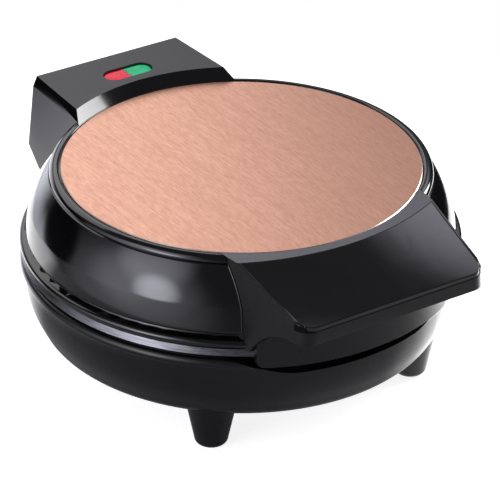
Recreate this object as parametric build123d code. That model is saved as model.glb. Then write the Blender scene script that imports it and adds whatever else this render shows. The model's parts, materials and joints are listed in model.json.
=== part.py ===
from build123d import *
from math import cos, radians, sin, sqrt
import os

os.makedirs("parts", exist_ok=True)

# A round heart waffle maker: a bowl on four feet and a lid that swings up about a pin at the rear.
# Millimetres, +Z up, the handle towards -Y. Z is 0 where the feet stand, X is 0 on the middle plane.
# Pieces are drawn about the round body's upright axis, then moved along Y by body_shift, so that the
# origin lies under the middle of the whole length.

# Clearances
seat_gap = 0.15
pin_gap = 0.05
swing_gap = 0.3
plate_gap = 0.6

# Longer than anything here, for solids that only cut
far = 200.0

# Rings of the body, which follow the rolled rim of the bowl
wall = 2.4
rim_r = 102.4
frame_r = rim_r + 0.1
skirt_r = frame_r - 3.0
crease_r = skirt_r - 1.9
dome_width = 19.4
disc_r = rim_r - dome_width
disc_gap = 0.6
lip_in = disc_r + disc_gap
lip_r = disc_r + 5.1
frame_in = frame_r - 12.5
plate_back_r = frame_in - 4.0
plate_root_r = frame_in - 1.0
collar_r = rim_r - 5.8
turn_r = rim_r - 7.4
floor_r = turn_r - 9.0

# Hinge, whose axis lies behind the widest ring, and the reach of the hinge box and the handle
pivot_y = frame_r + 7.0
pivot_z = 68.0
hinge_reach = pivot_y + 8.3
handle_reach = frame_r + 19.7
body_shift = (handle_reach - hinge_reach) / 2
pin_r = 2.5
knuckle_r = 5.0
knuckle_in = 23.0
knuckle_out = 33.0
ear_r = 6.0
block_half = 35.0
block_rear = pivot_y + 1.5
block_front = rim_r - 14.4
block_under = 33.0

# Bowl of the base
base_under = 20.0
turn_rise = 6.5
rim_top = 55.4
rim_bead = 2.6
moat_depth = 11.0
dip_depth = 9.0
dip_flat = 30.0
dip_half = 68.0

# Feet
foot_ring = floor_r - 4.04
foot_turn = 47.47
foot_top_r = 11.3
foot_tip_r = 7.8
foot_round = 3.0

# Waffle plates
split_z = rim_top + 2.1
flange_t = 2.7
pocket_depth = 7.5
plate_skin = 3.0
web_drop = 1.6
basin_r = plate_back_r - 4.0
drip_in = plate_back_r
drip_out = drip_in + 3.5
drip_depth = 1.2
lower_flange_r = collar_r + 1.0
upper_flange_r = frame_r - 0.4
upper_flange_lean = 1.5
lower_flange_lean = 0.8

# Hearts, whose lobes leave a web to the next heart
hearts = 5
heart_tip = 9.0
heart_web = 4.9
heart_cleft = 1.5
half_share = radians(180 / hearts)
lobe_out = basin_r - 26.0
lobe_room = lobe_out * sin(half_share) + heart_cleft * cos(half_share) - heart_web / 2
lobe_r = lobe_room / (1 + cos(half_share))
lobe_off = lobe_r - heart_cleft
peg_pitch = 11.0
peg_size = 5.0
peg_height = 4.2
peg_margin = 2.2

# Heating elements and what holds them
element_ring = basin_r - 22.0
element_r = 3.25
element_gap_deg = 30.0
cold_pin_r = 1.5
cold_pin_len = 5.0
clip_width = 9.0
clip_reach = 8.5
clip_t = 1.2
sheet = 0.6
reflector_drop = 10.7
reflector_r = collar_r - wall - 6.2
reflector_lip = 4.0

# Lid
frame_depth = 6.5
bead_depth = 3.8
skirt_rise = 11.7
disc_t = 1.4
dome_rise = 20.3
lip_rise = 0.2

# Hinge box on the lid, with the lamps under its window
box_rise = 5.3
box_rear_half = 39.3
box_front_half = 41.2
box_front_y = frame_r - 24.8
box_chamfer_in = 2.2
box_chamfer_down = 4.7
box_draft = 0.11
box_face_r = lip_in + 4.4
box_heel_y = pivot_y - 3.5
box_heel_z = pivot_z + 2.0
window_len = 25.6
window_wide = 10.4
window_y = hinge_reach - 19.1
lens_drop = 0.8
lens_flange_t = 1.2
lamp_r = 2.6
lamp_depth = 13.0
lamp_floor = 1.5
lamp_gap = 1.2
wire_room = 2.5

# Cord inlet
cord_bore_r = 3.5
bush_r = 5.5
bush_flange_r = 7.5
bush_flange_t = 1.5
inlet_z = 44.0

# Sleeve that leads the lid's wires along the hinge's axis, where they only twist
lead_x = 12.0
lead_y = pivot_y - 4.0
lead_r = 2.2
wire_r = 1.2
wire_bend = 3.0

# Handle and apron
handle_rear_half = 52.5
handle_rear_y = -sqrt((lip_r + 4.43) ** 2 - handle_rear_half ** 2)
handle_front_half = 47.4
handle_draft = 0.09
handle_corner = 8.0
handle_back_y = 25.0 - disc_r
handle_front_z = 86.7
handle_lip_z = 78.2
plate_arc_sag = 12.3
plate_t = 2.2
plate_inset = 1.1
handle_wall = 2.4
apron_t = 1.7
apron_r = frame_r + 0.2 + apron_t
apron_under = 53.0
apron_half = handle_rear_half - 0.8
apron_tuck = 2.5
apron_corner = 3.5

# Screws
screw_r = 1.5
screw_head_r = 3.0
screw_head_t = 2.0
foot_screw_reach = 12.0
plate_screw_low = 4.0
post_r = 5.5
post_top_r = 4.0
post_ring = plate_back_r - 8.0
frame_screw_ring = frame_in + 2.5

# Sizes that follow
lower_top = split_z - plate_gap / 2
upper_face = split_z + plate_gap / 2
plate_depth = pocket_depth + plate_skin
lower_back = lower_top - plate_depth
upper_back = upper_face + plate_depth
collar_top = lower_top - flange_t
floor_top = base_under + wall + 0.2
frame_under = upper_face + flange_t
frame_top = frame_under + frame_depth
skirt_top = frame_top + skirt_rise
disc_top = skirt_top + dome_rise
strip_top = disc_top + lip_rise
box_top = disc_top + box_rise
disc_seat = disc_top - disc_t
lid_under_top = disc_seat - 3.0
post_tip = lower_back - flange_t
lower_sheet = lower_back - reflector_drop
upper_sheet = upper_back + reflector_drop - 2.0


def outline(start, *steps):
    """Closed flat face. A step is a point, or a pair of points for an arc through the first."""
    edges = []
    at = start
    for step in steps:
        if isinstance(step[0], tuple):
            edges.append(ThreePointArc(at, *step))
            at = step[1]
        else:
            edges.append(Line(at, step))
            at = step
    edges.append(Line(at, start))
    return make_face(edges)


def turned(face):
    """Full turn about the body's axis of a face drawn as radius and height."""
    return revolve(Plane.XZ * face, Axis.Z)


def post(x, y, low, high, radius):
    """Upright round bar."""
    return Pos(x, y, (low + high) / 2) * Cylinder(radius, high - low)


def block(x_range, y_range, z_range):
    """Box given by its two faces along each axis."""
    sizes = [high - low for low, high in (x_range, y_range, z_range)]
    middle = [(low + high) / 2 for low, high in (x_range, y_range, z_range)]
    return Pos(*middle) * Box(*sizes)


def cross_bar(x_range, y, z, radius):
    """Round bar along X."""
    low, high = x_range
    return Pos((low + high) / 2, y, z) * Rot(0, 90, 0) * Cylinder(radius, high - low)


def side_prism(face, half):
    """Prism across the body of a face drawn as Y and Z, to the same half width each side."""
    return extrude(Plane.YZ * face, half, both=True)


def at_angle(degrees_from_x, radius):
    """Point on a circle about the body's axis."""
    turn = radians(degrees_from_x)
    return radius * cos(turn), radius * sin(turn)


def save(name, *solids):
    """Moves a piece, or a group of like pieces, to the frame's origin and writes it."""
    moved = [Pos(0, body_shift, 0) * solid for solid in solids]
    shape = moved[0] if len(moved) == 1 else Compound(children=moved)
    shape.label = name
    export_step(shape, f"parts/{name}.step")


def screw(x, y, head_at, tip_at):
    """Pan head screw: the head starts at head_at, the shank ends at tip_at."""
    way = 1 if tip_at > head_at else -1
    under_head = head_at + way * screw_head_t
    head = post(x, y, min(head_at, under_head), max(head_at, under_head), screw_head_r)
    shank = post(x, y, min(under_head, tip_at), max(under_head, tip_at), screw_r)
    return head + shank


post_spots = [at_angle(turn, post_ring) for turn in (30, 150, 270)]
frame_spots = [at_angle(turn, frame_screw_ring) for turn in (45, 135, 225, 315)]
flange_spots = [at_angle(turn, frame_screw_ring) for turn in (0, 90, 180, 270)]
foot_x, foot_y = at_angle(foot_turn, foot_ring)
foot_spots = {
    "foot_front_left": (-foot_x, -foot_y),
    "foot_front_right": (foot_x, -foot_y),
    "foot_rear_left": (-foot_x, foot_y),
    "foot_rear_right": (foot_x, foot_y),
}

# Base shell
wall_top_r = rim_r - rim_bead + 0.4
bead_low = rim_top - 2 * rim_bead
turn_z = base_under + turn_rise
base_side = [
    ((floor_r + 5.5, base_under + 1.6), (turn_r, turn_z)),
    ((turn_r + 3.1, turn_z + 6.8), (wall_top_r, bead_low - 2.6)),
    (wall_top_r + 0.5, bead_low),
    ((rim_r, rim_top - rim_bead), (wall_top_r, rim_top)),
]
base_solid = turned(outline((0, base_under), (floor_r, base_under), *base_side, (0, rim_top)))
moat_z = rim_top - moat_depth
inner_wall_r = rim_r - rim_bead - wall + 0.8
base_inner = [
    (inner_wall_r, rim_top),
    (inner_wall_r - 0.4, moat_z),
    (collar_r, moat_z),
    (collar_r, collar_top),
    (collar_r - wall, collar_top),
    (collar_r - wall, moat_z - wall),
    (inner_wall_r - 0.6, moat_z - wall),
    (turn_r - wall, turn_z + 1.5),
    (floor_r, floor_top),
    (0, floor_top),
]
base_shell = turned(outline((0, base_under), (floor_r, base_under), *base_side, *base_inner))

hinge_block = block((-block_half, block_half), (block_front, block_rear), (block_under, rim_top))
hinge_block = fillet(hinge_block.edges().filter_by(Axis.Z).group_by(Axis.Y)[-1], 4)
hinge_block = fillet(hinge_block.edges().group_by(Axis.Z)[0].group_by(Axis.Y)[-1], 3)
block_hollow = block(
    (wall - block_half, block_half - wall),
    (block_front, block_rear - wall),
    (block_under + wall, rim_top - wall),
)
lead_way = block((-20, 20), (collar_r - 6, block_rear - 2 * wall), (block_under + 2 * wall, moat_z - wall))
base_shell += hinge_block - base_solid
base_shell -= block_hollow - base_solid
base_shell -= lead_way

arm_rear = pivot_y - 2.0
arm_front = pivot_y - knuckle_r - 0.9
for side in (-1, 1):
    reach = sorted((side * knuckle_in, side * knuckle_out))
    arm_face = outline(
        (arm_front, rim_top - wall),
        (arm_rear, rim_top - wall),
        (arm_rear, pivot_z - 3),
        (pivot_y, pivot_z),
        (arm_front + 1.6, pivot_z + 3),
        (arm_front, pivot_z - 2),
    )
    arm = Pos(side * (knuckle_in + knuckle_out) / 2, 0, 0)
    arm *= side_prism(arm_face, (knuckle_out - knuckle_in) / 2)
    base_shell += arm + cross_bar(reach, pivot_y, pivot_z, knuckle_r)
    base_shell -= cross_bar(reach, pivot_y, pivot_z, pin_r + pin_gap)

for x, y in post_spots:
    base_shell += post(x, y, floor_top, lower_sheet, post_r)
    base_shell += post(x, y, lower_sheet, post_tip, post_top_r)
    base_shell -= post(x, y, base_under, post_tip, screw_r + pin_gap)
    base_shell -= post(x, y, base_under, base_under + 4 + screw_head_t, screw_head_r + seat_gap)
for x, y in foot_spots.values():
    base_shell -= post(x, y, base_under, floor_top, screw_r + pin_gap)

dip_low = rim_top - dip_depth
dip_mid = (dip_half + dip_flat) / 2
dip_edges = []
for side in (-1, 1):
    low_end = (side * dip_flat, dip_low)
    high_end = (side * dip_half, rim_top + 0.5)
    dip_edges.append(Spline(low_end, (side * dip_mid, rim_top - dip_depth / 2), high_end,
                            tangents=((side, 0), (side, 0))))
dip_edges.append(Line((-dip_flat, dip_low), (dip_flat, dip_low)))
dip_edges.append(Line((-dip_half, rim_top + 0.5), (-dip_half, rim_top + 4)))
dip_edges.append(Line((-dip_half, rim_top + 4), (dip_half, rim_top + 4)))
dip_edges.append(Line((dip_half, rim_top + 4), (dip_half, rim_top + 0.5)))
dip = extrude(Plane.XZ * make_face(dip_edges), rim_r + 10)
dip -= post(0, 0, 0, 2 * rim_top, collar_r + 0.2)
base_shell -= dip
base_shell -= Pos(0, block_rear - wall / 2, inlet_z) * Rot(90, 0, 0) * Cylinder(bush_r, 2 * wall)
base_shell -= post(-lead_x, lead_y, rim_top - 2 * wall, rim_top + 1, lead_r + seat_gap)
save("base_shell", base_shell)

# Feet, which follow the bowl where they meet it
for name, (x, y) in foot_spots.items():
    foot_high = base_under + 8.0
    flare = (foot_top_r - foot_tip_r) / (base_under - foot_round)
    foot = turned(outline(
        (0, 0),
        (foot_tip_r - foot_round, 0),
        ((foot_tip_r - 0.3 * foot_round, 0.3 * foot_round), (foot_tip_r, foot_round)),
        (foot_top_r + flare * 8.0, foot_high),
        (0, foot_high),
    ))
    foot = Pos(x, y, 0) * foot - base_solid
    foot -= post(x, y, base_under - foot_screw_reach, base_under + 1, screw_r)
    save(name, foot)

foot_screw_top = floor_top + screw_head_t
foot_screw_tip = base_under - foot_screw_reach
foot_screws = [screw(x, y, foot_screw_top, foot_screw_tip) for x, y in foot_spots.values()]
save("foot_screws", *foot_screws)

# Waffle plates, drawn face up with the face at height 0
apex_to_lobe = sqrt(lobe_off ** 2 + (lobe_out - heart_tip) ** 2)
tangent_len = sqrt(apex_to_lobe ** 2 - lobe_r ** 2)


def heart_face(shrink=0.0):
    """Heart with its tip towards the body's axis and its lobes outward along +Y."""
    radius = lobe_r - shrink
    lift = shrink * apex_to_lobe / lobe_r
    tip = heart_tip + lift
    span = sqrt(lobe_off ** 2 + (lobe_out - tip) ** 2)
    reach = sqrt(span ** 2 - radius ** 2)
    ux, uy = lobe_off / span, (lobe_out - tip) / span
    along, aside = reach ** 2 / span, reach * radius / span
    touch = (along * ux + aside * uy, tip + along * uy - aside * ux)
    outer = (lobe_off + radius * sin(radians(50)), lobe_out + radius * cos(radians(50)))
    notch = (0, lobe_out + sqrt(radius ** 2 - lobe_off ** 2))
    return make_face([
        Line((0, tip), touch),
        ThreePointArc(touch, outer, notch),
        ThreePointArc(notch, (-outer[0], outer[1]), (-touch[0], touch[1])),
        Line((-touch[0], touch[1]), (0, tip)),
    ])


def inside_heart(x, y, margin):
    """True where a point lies in the heart, at least margin from its edge."""
    across = abs(x)
    in_lobe = sqrt((across - lobe_off) ** 2 + (y - lobe_out) ** 2) < lobe_r - margin
    ux, uy = lobe_off / apex_to_lobe, (lobe_out - heart_tip) / apex_to_lobe
    edge_x = (tangent_len * ux + lobe_r * uy) / apex_to_lobe
    edge_y = (tangent_len * uy - lobe_r * ux) / apex_to_lobe
    from_side = edge_y * across - edge_x * (y - heart_tip)
    in_wedge = from_side < -margin and y < lobe_out and across < lobe_off + 2
    return in_lobe or in_wedge


def peg_spots():
    """Middles of the pegs that stand whole inside one heart."""
    spots = []
    corner = peg_size / 2
    for column in range(-3, 4):
        for row in range(8):
            x, y = column * peg_pitch, heart_tip + (row + 0.9) * peg_pitch
            ends = [(x + i * corner, y + j * corner) for i in (-1, 1) for j in (-1, 1)]
            if all(inside_heart(u, v, peg_margin) for u, v in ends):
                spots.append((x, y))
    return spots


def waffle_plate(flange_r, lean):
    """Cast plate, face up, with the heart pockets, their pegs and a drip groove round them."""
    plate = turned(outline(
        (0, 0),
        (flange_r, 0),
        (flange_r - lean, -flange_t),
        (plate_root_r, -flange_t),
        (plate_back_r, -plate_depth),
        (0, -plate_depth),
    ))
    plate -= post(0, 0, -web_drop, 1, basin_r)
    plate -= post(0, 0, -drip_depth, 1, drip_out) - post(0, 0, -drip_depth, 1, drip_in)
    floor_at = -pocket_depth
    pocket = Pos(0, 0, floor_at) * extrude(heart_face(), pocket_depth)
    peg = Pos(0, 0, floor_at + peg_height / 2) * Box(peg_size, peg_size, peg_height)
    pocket -= [Pos(x, y, 0) * peg for x, y in peg_spots()]
    for count in range(hearts):
        plate -= Rot(0, 0, 180 + count * 360 / hearts) * pocket
    return plate


lower_plate = Pos(0, 0, lower_top) * waffle_plate(lower_flange_r, lower_flange_lean)
for x, y in post_spots:
    lower_plate += post(x, y, post_tip, lower_back, post_top_r)
    lower_plate -= post(x, y, post_tip, lower_back + 1.5, screw_r)
upper_plate = Pos(0, 0, upper_face) * Rot(0, 180, 0) * waffle_plate(upper_flange_r, upper_flange_lean)
for x, y in flange_spots:
    upper_plate -= post(x, y, upper_face + 0.8, frame_under, screw_r)

# Elements with their clips, drawn for a plate back at height 0 with the tube below it
terminal_turn = element_gap_deg / 2


def element(drop):
    """Tubular ring with a gap at the rear, whose two ends turn away from the plate."""
    tube = revolve(Plane.XZ * Pos(element_ring, -element_r) * Circle(element_r), Axis.Z,
                   360 - element_gap_deg)
    tube = Rot(0, 0, 90 + terminal_turn) * tube
    end = Sphere(element_r) + post(0, 0, element_r - drop, 0, element_r)
    end += post(0, 0, element_r - drop - cold_pin_len, element_r - drop, cold_pin_r)
    for turn in (90 - terminal_turn, 90 + terminal_turn):
        tube += Rot(0, 0, turn) * Pos(element_ring, 0, -element_r) * end
    return tube


clip_turns = (30, 150, 270)


def clip(turn):
    """Strap over the tube with a foot each side that lies on the plate."""
    room_r = element_r + seat_gap
    room = turned(Pos(element_ring, -element_r) * Circle(room_r))
    slot = post(0, 0, -element_r, 1, element_ring + room_r)
    room += slot - post(0, 0, -element_r, 1, element_ring - room_r)
    feet = block((element_ring - clip_reach, element_ring + clip_reach),
                 (-clip_width / 2, clip_width / 2), (-clip_t, 0))
    saddle = Pos(element_ring, 0, -element_r) * Rot(90, 0, 0) * Cylinder(element_r + clip_t, clip_width)
    saddle -= block((0, 2 * element_ring), (-clip_width, clip_width), (0, 2 * element_r))
    strap = Rot(0, 0, turn) * (feet + saddle)
    x, y = at_angle(turn, element_ring + element_r + 3.2)
    return strap - room - post(x, y, -clip_t, 0, 1.2)


def clip_screw(turn):
    """Small screw through the clip's outer foot into the plate."""
    x, y = at_angle(turn, element_ring + element_r + 3.2)
    return post(x, y, -clip_t - 1.4, -clip_t, 2.0) + post(x, y, -clip_t, 1.6, 1.2)


element_drop = reflector_drop + 3
tube = element(element_drop)
clips = [clip(turn) for turn in clip_turns]
clip_screws = [clip_screw(turn) for turn in clip_turns]
under_lower = Pos(0, 0, lower_back)
over_upper = Pos(0, 0, upper_back) * Rot(0, 180, 0)
for turn in clip_turns:
    x, y = at_angle(turn, element_ring + element_r + 3.2)
    lower_plate -= post(x, y, lower_back, lower_back + 1.6, 1.2)
    upper_plate -= post(-x, y, upper_back - 1.6, upper_back, 1.2)
save("lower_plate", lower_plate)
save("upper_plate", upper_plate)
save("lower_element", under_lower * tube)
save("upper_element", over_upper * tube)
save("lower_element_clips", *[under_lower * piece for piece in clips])
save("upper_element_clips", *[over_upper * piece for piece in clips])
save("lower_clip_screws", *[under_lower * piece for piece in clip_screws])
save("upper_clip_screws", *[over_upper * piece for piece in clip_screws])
plate_screws = [screw(x, y, base_under + plate_screw_low, lower_back + 1.5) for x, y in post_spots]
save("lower_plate_screws", *plate_screws)

# Reflector of the base, which lies on the shoulders of the posts
fuse_y = -22.0
fuse_lead = 23.0
rise_x = fuse_lead + wire_r
lower_reflector = turned(outline(
    (0, lower_sheet),
    (reflector_r, lower_sheet),
    (reflector_r + 1, lower_sheet + reflector_lip),
    (reflector_r + 1 - sheet, lower_sheet + reflector_lip),
    (reflector_r - sheet, lower_sheet + sheet),
    (0, lower_sheet + sheet),
))
for x, y in post_spots:
    lower_reflector -= post(x, y, lower_sheet, lower_sheet + 1, post_top_r + seat_gap)
terminal_spots = [at_angle(turn, element_ring) for turn in (90 - terminal_turn, 90 + terminal_turn)]
for x, y in terminal_spots:
    lower_reflector -= post(x, y, lower_sheet, lower_sheet + 1, element_r + seat_gap)
for x, y in ((rise_x, fuse_y), (rise_x, 0)):
    lower_reflector -= post(x, y, lower_sheet, lower_sheet + 1, wire_r + seat_gap)
save("lower_reflector", lower_reflector)

# Thermostat on a bridge that stands on the reflector and presses it to the plate
bridge_low = lower_sheet + sheet
bridge_high = bridge_low + 1.0
stat_low = bridge_high
save("thermostat_bracket", block((-16, 16), (-6, 6), (bridge_low, bridge_high)))
stat_tag = 14.0
thermostat = post(0, 0, stat_low, stat_low + 5.6, 8.4) + post(0, 0, stat_low + 5.6, lower_back, 7.2)
for side in (-1, 1):
    thermostat += block(sorted((side * 8, side * stat_tag)), (-3.2, 3.2), (stat_low + 1, stat_low + 2))
save("thermostat", thermostat)

# Thermal fuse in its sleeve, lying on the reflector beside the thermostat
fuse_r = 2.6
fuse = cross_bar((-13, 13), fuse_y, bridge_low + fuse_r, fuse_r)
for side in (-1, 1):
    fuse += cross_bar(sorted((side * 13, side * fuse_lead)), fuse_y, bridge_low + fuse_r, 0.8)
save("thermal_fuse", fuse)

# Terminal block on the bowl's floor, near the cord's way in
strip_half = 12.0
pin_x, pin_y = at_angle(90 - terminal_turn, element_ring)
strip_y = pin_y + 8
strip_high = floor_top + 9.5
terminal_block = block((-strip_half, strip_half), (strip_y - 8, strip_y + 8), (floor_top, strip_high))
for x in (-8, 0, 8):
    terminal_block -= post(x, strip_y, strip_high - 5, strip_high, 2.0)
    terminal_block -= Pos(x, strip_y, floor_top + 4) * Rot(90, 0, 0) * Cylinder(1.6, 16)
save("terminal_block", terminal_block)

# Earth tag screwed to the floor
tag_x, tag_y = 24.0, strip_y
tag = block((tag_x - 4, tag_x + 4), (tag_y - 8, tag_y + 6), (floor_top, floor_top + 0.8))
tag -= post(tag_x, tag_y, floor_top, floor_top + 1, screw_r)
save("earth_tag", tag)
tag_screw = post(tag_x, tag_y, floor_top + 0.8, floor_top + 2.6, screw_head_r)
tag_screw += post(tag_x, tag_y, floor_top, floor_top + 0.8, screw_r)
save("earth_tag_screw", tag_screw)

# Wires of the base, which run along the bowl's floor and rise through the reflector


def wire(*points, bend=wire_bend, radius=wire_r):
    """Round wire along straight runs joined by arcs."""
    path = FilletPolyline(*points, radius=bend) if len(points) > 2 else Line(*points)
    return sweep(Plane(origin=path @ 0, z_dir=path % 0) * Circle(radius), path=path)


wire_z = floor_top + 4
pin_z = lower_back - element_drop - 3
near_block, far_block = strip_y - 8, strip_y + 8
fuse_z = bridge_low + fuse_r
base_leads = [
    wire((-8, near_block, wire_z), (-8, strip_y - 21, wire_z), (-25, strip_y - 21, pin_z),
         (-25, pin_y, pin_z), (-pin_x - cold_pin_r, pin_y, pin_z)),
    wire((8, near_block, wire_z), (8, -10, wire_z), (rise_x, fuse_y, wire_z), (rise_x, fuse_y, fuse_z)),
    wire((-fuse_lead, fuse_y, fuse_z), (-32, fuse_y, fuse_z), (-32, 0, fuse_z), (-stat_tag, 0, fuse_z)),
    wire((stat_tag, 0, fuse_z), (rise_x, 0, fuse_z), (rise_x, 0, pin_z), (rise_x, pin_y, pin_z),
         (pin_x + cold_pin_r, pin_y, pin_z)),
    wire((0, near_block, wire_z), (0, strip_y - 28, wire_z), (tag_x, strip_y - 28, floor_top + wire_r),
         (tag_x, near_block, floor_top + wire_r)),
    wire((-8, far_block, wire_z), (-8, floor_r - 2.5, wire_z), (-lead_x, rim_r - 12, block_under),
         (-lead_x, rim_r - 8.9, inlet_z - 4), (-lead_x, lead_y, inlet_z - 4), (-lead_x, lead_y, inlet_z)),
]
save("base_leads", *base_leads)

# Two halves of the sleeve, which meet on the hinge's axis
base_sleeve = wire((-lead_x, lead_y, inlet_z), (-lead_x, lead_y, pivot_z - 4.5), (-lead_x, pivot_y, pivot_z),
                   (-seat_gap / 2, pivot_y, pivot_z), radius=lead_r)
save("base_sleeve", base_sleeve)

# Bush where the supply cord would come in
bush_face = outline(
    (cord_bore_r, 0),
    (bush_flange_r, 0),
    (bush_flange_r, bush_flange_t),
    (bush_r, bush_flange_t),
    (bush_r, bush_flange_t + wall),
    (bush_r + 1, bush_flange_t + wall),
    (bush_r + 1, bush_flange_t + wall + 1.5),
    (cord_bore_r, bush_flange_t + wall + 1.5),
)
cord_bush = Pos(0, block_rear + bush_flange_t, inlet_z) * Rot(90, 0, 0) * turned(bush_face)
save("cord_bush", cord_bush)

# Lid shell: dome, skirt and hinge box in one moulding
lip_top = disc_top + lip_rise
dome_side = [
    (lip_in, disc_seat),
    (lip_in, disc_top - 0.5),
    ((lip_in + 0.5, lip_top - 0.2), (lip_in + 1.4, lip_top)),
    ((lip_r - 1.1, lip_top - 0.7), (lip_r, lip_top - 2.6)),
    (lip_r - 0.4, lip_top - 3.3),
    (lip_r + 0.5, lip_top - 3.8),
    (((lip_r + crease_r) / 2 + 0.9, (lip_top - 3.8 + skirt_top) / 2 + 0.3), (crease_r, skirt_top)),
    (skirt_r, frame_top + 1.4),
    ((skirt_r - 0.3, frame_top + 0.4), (skirt_r - 1.2, frame_top)),
]
dome_inner = [
    (skirt_r - wall - 0.9, frame_top),
    (crease_r - wall, skirt_top - 0.4),
    (lip_r - wall + 0.6, lid_under_top),
    (0, lid_under_top),
]
dome_solid = turned(outline((0, disc_seat), *dome_side, (0, frame_top)))
lid_shell = turned(outline((0, disc_seat), *dome_side, *dome_inner))

frame_face = [
    (skirt_r - 0.5, frame_under),
    (skirt_r - 0.5, frame_under + 1.1),
    (frame_r - 1.3, frame_under + 1.1),
    ((frame_r, frame_under + 1.1 + bead_depth * 0.45), (frame_r - 1.5, frame_under + 0.8 + bead_depth)),
    (skirt_r - 1.2, frame_under + 1.1 + bead_depth),
    (skirt_r - 1.2, frame_top),
]
frame_solid = turned(outline((0, frame_under), *frame_face, (0, frame_top)))
lid_round = dome_solid + frame_solid


def box_section(height, inset):
    """Plan of the hinge box at one height, drawn in by inset, reaching well inside the dome."""
    down = max(0.0, box_top - box_chamfer_down - height)
    spread = box_draft * down
    if height < box_top - 0.01:
        spread += box_chamfer_in
    rear = box_rear_half + spread - inset
    front = box_front_half + spread - inset
    slope = (front - rear) / (hinge_reach - box_front_y)
    deep = front + slope * 20
    rear_y, deep_y = hinge_reach - inset, box_front_y - 20
    plan = Polyline((-rear, rear_y), (rear, rear_y), (deep, deep_y), (-deep, deep_y), close=True)
    return Pos(0, 0, height) * make_face(plan.edges())


def box_solid(inset, under):
    """Hinge box with its chamfered top, drawn in by inset on the sides, the rear and the top."""
    shoulder = box_top - box_chamfer_down
    lower = loft([box_section(under, inset), box_section(shoulder, inset)], ruled=True)
    upper = loft([box_section(shoulder, inset), box_section(box_top, inset)], ruled=True)
    whole = lower + upper
    if inset > 0:
        whole -= block((-far, far), (0, far), (box_top - inset, box_top + 1))
    return whole


box_under = frame_under + 1.1
heel = side_prism(outline(
    (box_heel_y, box_under - 1),
    (box_heel_y, box_under),
    (hinge_reach + 1, box_heel_z),
    (hinge_reach + 1, box_under - 1),
), far)
face_cut = turned(outline(
    (0, disc_seat),
    (lip_in, disc_seat),
    (lip_in, lip_top - 0.4),
    ((lip_in + 3.0, lip_top + 1.4), (box_face_r, box_top + 0.1)),
    (box_face_r, box_top + 2),
    (0, box_top + 2),
))
hinge_box = box_solid(0, box_under) - heel - face_cut
hinge_box -= post(0, 0, box_under - 1, frame_top, frame_r + swing_gap)
box_room = box_solid(wall, box_under - 2) - post(0, 0, box_under - 3, box_top, box_face_r + wall)
lid_shell += hinge_box - dome_solid
lid_shell -= box_room - dome_solid
ear_out = box_rear_half + box_chamfer_in + box_draft * (box_top - box_chamfer_down - pivot_z) - wall
for side in (-1, 1):
    ear_span = sorted((side * (knuckle_out + swing_gap), side * (ear_out + 0.6)))
    lid_shell += cross_bar(ear_span, pivot_y, pivot_z, ear_r)
    bore_span = sorted((side * (knuckle_out + swing_gap), side * (ear_out - 1)))
    lid_shell -= cross_bar(bore_span, pivot_y, pivot_z, pin_r + pin_gap)

lid_wire_z = upper_back + element_drop + 2.5
lid_shell -= block((-8.4, 8.4), (disc_r + 2, skirt_r - 0.5), (lid_wire_z - wire_room, lid_wire_z + wire_room))

window = Pos(0, window_y, 0) * SlotOverall(window_len, window_wide)
lid_shell -= Pos(0, 0, box_top - 2 * wall) * extrude(window, 3 * wall)

for x, y in frame_spots:
    column = post(x, y, frame_top, skirt_top + 14, post_top_r) & dome_solid
    lid_shell += column
    lid_shell -= post(x, y, frame_top, frame_top + 11, screw_r)

# Handle: top surface between a level arc at the rear and a level line at the front
arc_half = handle_rear_half + 7.5
arc_mid_y = -(lip_r + 0.1)
arc_radius = (handle_rear_half ** 2 + plate_arc_sag ** 2) / (2 * plate_arc_sag)
arc_end_y = arc_mid_y + arc_radius - sqrt(arc_radius ** 2 - arc_half ** 2)
front_half = arc_half * handle_front_half / handle_rear_half
over = 0.6
rear_arc = ThreePointArc(
    (-arc_half, arc_end_y, strip_top), (0, arc_mid_y, strip_top), (arc_half, arc_end_y, strip_top)
)
front_line = Line(
    (-front_half, -handle_reach - over, handle_front_z), (front_half, -handle_reach - over, handle_front_z)
)
slope_face = Face.make_surface_from_curves(rear_arc.edge(), front_line.edge())
strip_plan = make_face([
    ThreePointArc((-arc_half, arc_end_y), (0, arc_mid_y), (arc_half, arc_end_y)),
    Line((arc_half, arc_end_y), (arc_half, 0)),
    Line((arc_half, 0), (-arc_half, 0)),
    Line((-arc_half, 0), (-arc_half, arc_end_y)),
])
above_slope = Solid.extrude(slope_face, Vector(0, 0, box_top))
above_handle = above_slope + Pos(0, 0, strip_top) * extrude(strip_plan, box_top)


def handle_plan(height, inset, front):
    """Plan of the handle at one height, drawn in by inset, with rounded front corners."""
    spread = handle_draft * (strip_top - height) - inset
    slope = (handle_rear_half - handle_front_half) / (handle_reach + handle_rear_y)
    rear = handle_rear_half + slope * (handle_back_y - handle_rear_y) + spread
    fore = handle_front_half + spread
    plan = Polyline((-rear, handle_back_y), (rear, handle_back_y), (fore, front), (-fore, front), close=True)
    face = make_face(plan.edges())
    face = fillet(face.vertices().group_by(Axis.Y)[0], max(1.0, handle_corner - inset))
    return Pos(0, 0, height) * face


def handle_prism(inset, front, under, over):
    """Handle between two heights, with its sides leaning out downward."""
    return loft([handle_plan(under, inset, front), handle_plan(over, inset, front)], ruled=True)


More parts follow.
